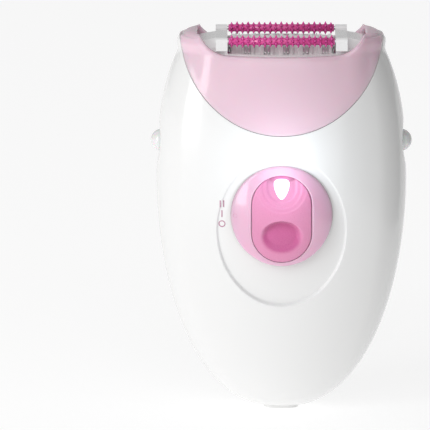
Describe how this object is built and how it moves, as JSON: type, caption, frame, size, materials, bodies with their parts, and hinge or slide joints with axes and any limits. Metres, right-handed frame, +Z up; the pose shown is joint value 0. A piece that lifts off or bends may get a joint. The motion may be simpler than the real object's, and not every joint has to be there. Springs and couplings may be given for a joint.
{
  "type": "epilator",
  "caption": "Egg-shaped hand-held epilator with a lift-off tweezer head, a clip-on cap with two spiked massage rollers, a slide switch and side release buttons.",
  "frame": {"origin": "bottom centre of the power inlet nose, on the handle's middle plane", "axes": "+X to the right seen from the switch side, +Y to the back, +Z up along the handle towards the tweezer head"},
  "size_m": [0.0756, 0.0435, 0.1121],
  "materials": {
    "white_shell": "glossy",
    "pink_shell": "glossy pearly",
    "pink_disc": "glossy translucent",
    "pink_pad": "glossy",
    "magenta": "glossy",
    "clear_lens": "clear, lit",
    "white_plastic": "satin",
    "grey_plastic": "satin",
    "black_plastic": "satin",
    "acetal": "satin",
    "steel": "brushed",
    "bright_steel": "polished",
    "brass": "turned",
    "copper": "enamelled wire",
    "ferrite": "sintered",
    "rubber": "matt",
    "board": "solder mask",
    "translucent_white": "glossy translucent"
  },
  "bodies": {
    "handle": {"front_housing": "white_shell", "rear_housing": "white_shell", "housing_screws": "steel", "handle_deck": "white_plastic", "power_socket": "white_plastic", "contact_pins": "brass", "circuit_board": "board", "switch_case": "black_plastic", "indicator_led": "clear_lens", "capacitor": "black_plastic", "choke": "ferrite", "diodes": "black_plastic", "motor_can": "steel", "motor_end_cap": "black_plastic", "motor_terminals": "brass", "motor_bushes": "brass", "motor_magnets": "ferrite", "motor_sleeve": "rubber", "motor_bracket": "steel", "bracket_screws": "steel", "right_button_spring": "bright_steel", "left_button_spring": "bright_steel"},
    "slide_switch": {"switch_disc": "pink_disc", "switch_dot": "pink_pad", "thumb_pad": "pink_pad", "light_lens": "clear_lens", "switch_slider": "white_plastic", "switch_lever": "white_plastic"},
    "right_release": {"right_button": "translucent_white"},
    "left_release": {"left_button": "translucent_white"},
    "motor_rotor": {"rotor_shaft": "bright_steel", "armature": "steel", "rotor_windings": "copper", "commutator": "copper", "motor_pinion": "brass"},
    "epilation_head": {"head_collar": "pink_shell", "head_chassis": "white_plastic", "drum_bushes": "brass", "closing_cams": "acetal", "gear_cover": "grey_plastic", "transfer_pin": "bright_steel"},
    "crown_gear": {"crown_wheel": "acetal", "lay_gear": "acetal", "lay_shaft": "bright_steel"},
    "transfer_wheel": {"transfer_gear": "acetal"},
    "tweezer_drum": {"drum_axle": "bright_steel", "drum_core": "white_plastic", "fixed_tweezers": "bright_steel", "drum_gear": "acetal"},
    "tweezer_bar_1": {"clamp_bar_1": "bright_steel"},
    "tweezer_bar_2": {"clamp_bar_2": "bright_steel"},
    "tweezer_bar_3": {"clamp_bar_3": "bright_steel"},
    "tweezer_bar_4": {"clamp_bar_4": "bright_steel"},
    "massage_cap": {"cap_frame": "white_plastic", "front_roller_pin": "bright_steel", "rear_roller_pin": "bright_steel"},
    "front_massage_roller": {"front_roller": "magenta"},
    "rear_massage_roller": {"rear_roller": "magenta"}
  },
  "joints": [
    {"name": "switch_slide", "type": "slide", "parent": "handle", "child": "slide_switch", "axis": [0, 0, 1], "range_m": [0, 0.0057]},
    {"name": "right_release_press", "type": "slide", "parent": "handle", "child": "right_release", "axis": [-1, 0, 0], "range_m": [0, 0.0018], "stiffness_N_per_m": 400, "deforming": ["right_button_spring"]},
    {"name": "left_release_press", "type": "slide", "parent": "handle", "child": "left_release", "axis": [1, 0, 0], "range_m": [0, 0.0018], "stiffness_N_per_m": 400, "deforming": ["left_button_spring"]},
    {"name": "motor_spin", "type": "hinge", "parent": "handle", "child": "motor_rotor", "pos_m": [0, 0.001, 0.06], "axis": [0, 0, 1], "continuous": true},
    {"name": "head_lift", "type": "slide", "parent": "handle", "child": "epilation_head", "axis": [0, 0, 1], "range_m": [0, 0.045]},
    {"name": "crown_spin", "type": "hinge", "parent": "epilation_head", "child": "crown_gear", "pos_m": [0, 0.001, 0.0825], "axis": [1, 0, 0], "continuous": true},
    {"name": "transfer_spin", "type": "hinge", "parent": "epilation_head", "child": "transfer_wheel", "pos_m": [0, 0.00312, 0.09186], "axis": [1, 0, 0], "continuous": true},
    {"name": "drum_spin", "type": "hinge", "parent": "epilation_head", "child": "tweezer_drum", "pos_m": [0, 0, 0.1022], "axis": [1, 0, 0], "continuous": true},
    {"name": "cap_lift", "type": "slide", "parent": "epilation_head", "child": "massage_cap", "axis": [0, 0, 1], "range_m": [0, 0.025]},
    {"name": "front_roller_spin", "type": "hinge", "parent": "massage_cap", "child": "front_massage_roller", "pos_m": [0, -0.0092, 0.1098], "axis": [1, 0, 0], "continuous": true},
    {"name": "rear_roller_spin", "type": "hinge", "parent": "massage_cap", "child": "rear_massage_roller", "pos_m": [0, 0.0092, 0.1102], "axis": [1, 0, 0], "continuous": true},
    {"name": "tweezer_bar_1_slide", "type": "slide", "parent": "tweezer_drum", "child": "tweezer_bar_1", "axis": [-1, 0, 0], "range_m": [0, 0.0004]},
    {"name": "tweezer_bar_2_slide", "type": "slide", "parent": "tweezer_drum", "child": "tweezer_bar_2", "axis": [-1, 0, 0], "range_m": [0, 0.0004]},
    {"name": "tweezer_bar_3_slide", "type": "slide", "parent": "tweezer_drum", "child": "tweezer_bar_3", "axis": [-1, 0, 0], "range_m": [0, 0.0004]},
    {"name": "tweezer_bar_4_slide", "type": "slide", "parent": "tweezer_drum", "child": "tweezer_bar_4", "axis": [-1, 0, 0], "range_m": [0, 0.0004]}
  ],
  "couplings": [
    {"joint": "crown_spin", "follows": "motor_spin", "ratio": 0.25},
    {"joint": "transfer_spin", "follows": "motor_spin", "ratio": -0.10294},
    {"joint": "drum_spin", "follows": "motor_spin", "ratio": 0.175}
  ]
}
